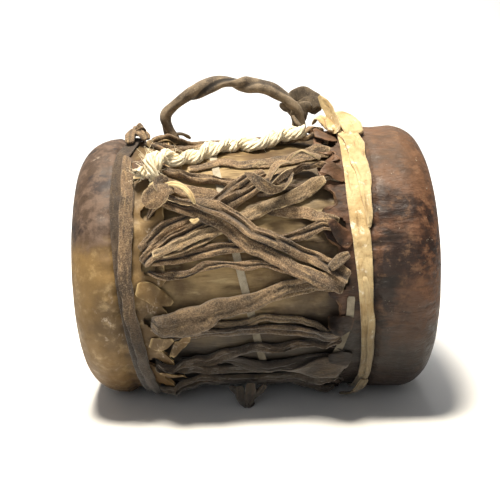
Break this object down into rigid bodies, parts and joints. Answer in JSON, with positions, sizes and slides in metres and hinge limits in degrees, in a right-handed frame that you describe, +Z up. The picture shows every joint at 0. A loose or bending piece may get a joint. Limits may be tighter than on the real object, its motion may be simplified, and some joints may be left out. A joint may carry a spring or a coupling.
{
  "type": "ceremonial log drum",
  "caption": "Two-headed log drum lying on its side: rawhide heads over a hollow wood shell, held by crossing suede laces, with belts, a twisted leather handle and white rope.",
  "frame": {"origin": "under the middle of the drum, on the surface it rests on", "axes": "+X along the drum's axis towards the larger dark head, +Y towards the back, +Z up towards the handle"},
  "size_m": [0.2424, 0.2058, 0.2235],
  "materials": {
    "wood": "bare hollowed log, dry and matt",
    "tan_hide": "rawhide, smooth with a dull sheen, stained dark over the top",
    "dark_hide": "darkened rawhide, wrinkled at the belt, dull sheen",
    "suede": "dark taupe suede with a worn, speckled nap",
    "dark_leather": "dark twisted leather, dull with worn edges",
    "buckskin": "pale cream buckskin, soft and matt",
    "cotton": "white cotton, twisted and frayed"
  },
  "bodies": {
    "root": {"shell": "wood", "left_head": "tan_hide", "right_head": "dark_hide", "left_belt": "suede", "right_belt": "buckskin", "handle": "dark_leather", "white_rope": "cotton", "cotton_tape": "cotton", "cotton_tape_short": "cotton", "buckskin_strip": "buckskin", "bow_knot": "suede", "hanging_knot": "suede", "front_lace_01": "suede", "front_lace_02": "suede", "front_lace_03": "suede", "front_lace_04": "suede", "front_lace_05": "suede", "front_lace_06": "suede", "front_lace_07": "suede", "front_lace_08": "suede", "front_lace_09": "suede", "front_lace_10": "suede", "front_lace_11": "suede", "front_lace_12": "suede", "front_lace_13": "suede", "front_lace_14": "suede", "front_lace_15": "suede", "front_lace_16": "suede", "front_lace_17": "suede", "front_lace_18": "suede", "front_lace_19": "suede", "front_lace_20": "suede", "front_lace_21": "suede", "front_lace_22": "suede", "front_lace_23": "suede", "front_lace_24": "suede", "front_lace_25": "suede", "front_lace_26": "suede", "back_lace_01": "suede", "back_lace_02": "suede", "back_lace_03": "suede", "back_lace_04": "suede", "back_lace_05": "suede", "back_lace_06": "suede", "back_lace_07": "suede", "back_lace_08": "suede", "back_lace_09": "suede", "back_lace_10": "suede", "back_lace_11": "suede"}
  },
  "joints": []
}
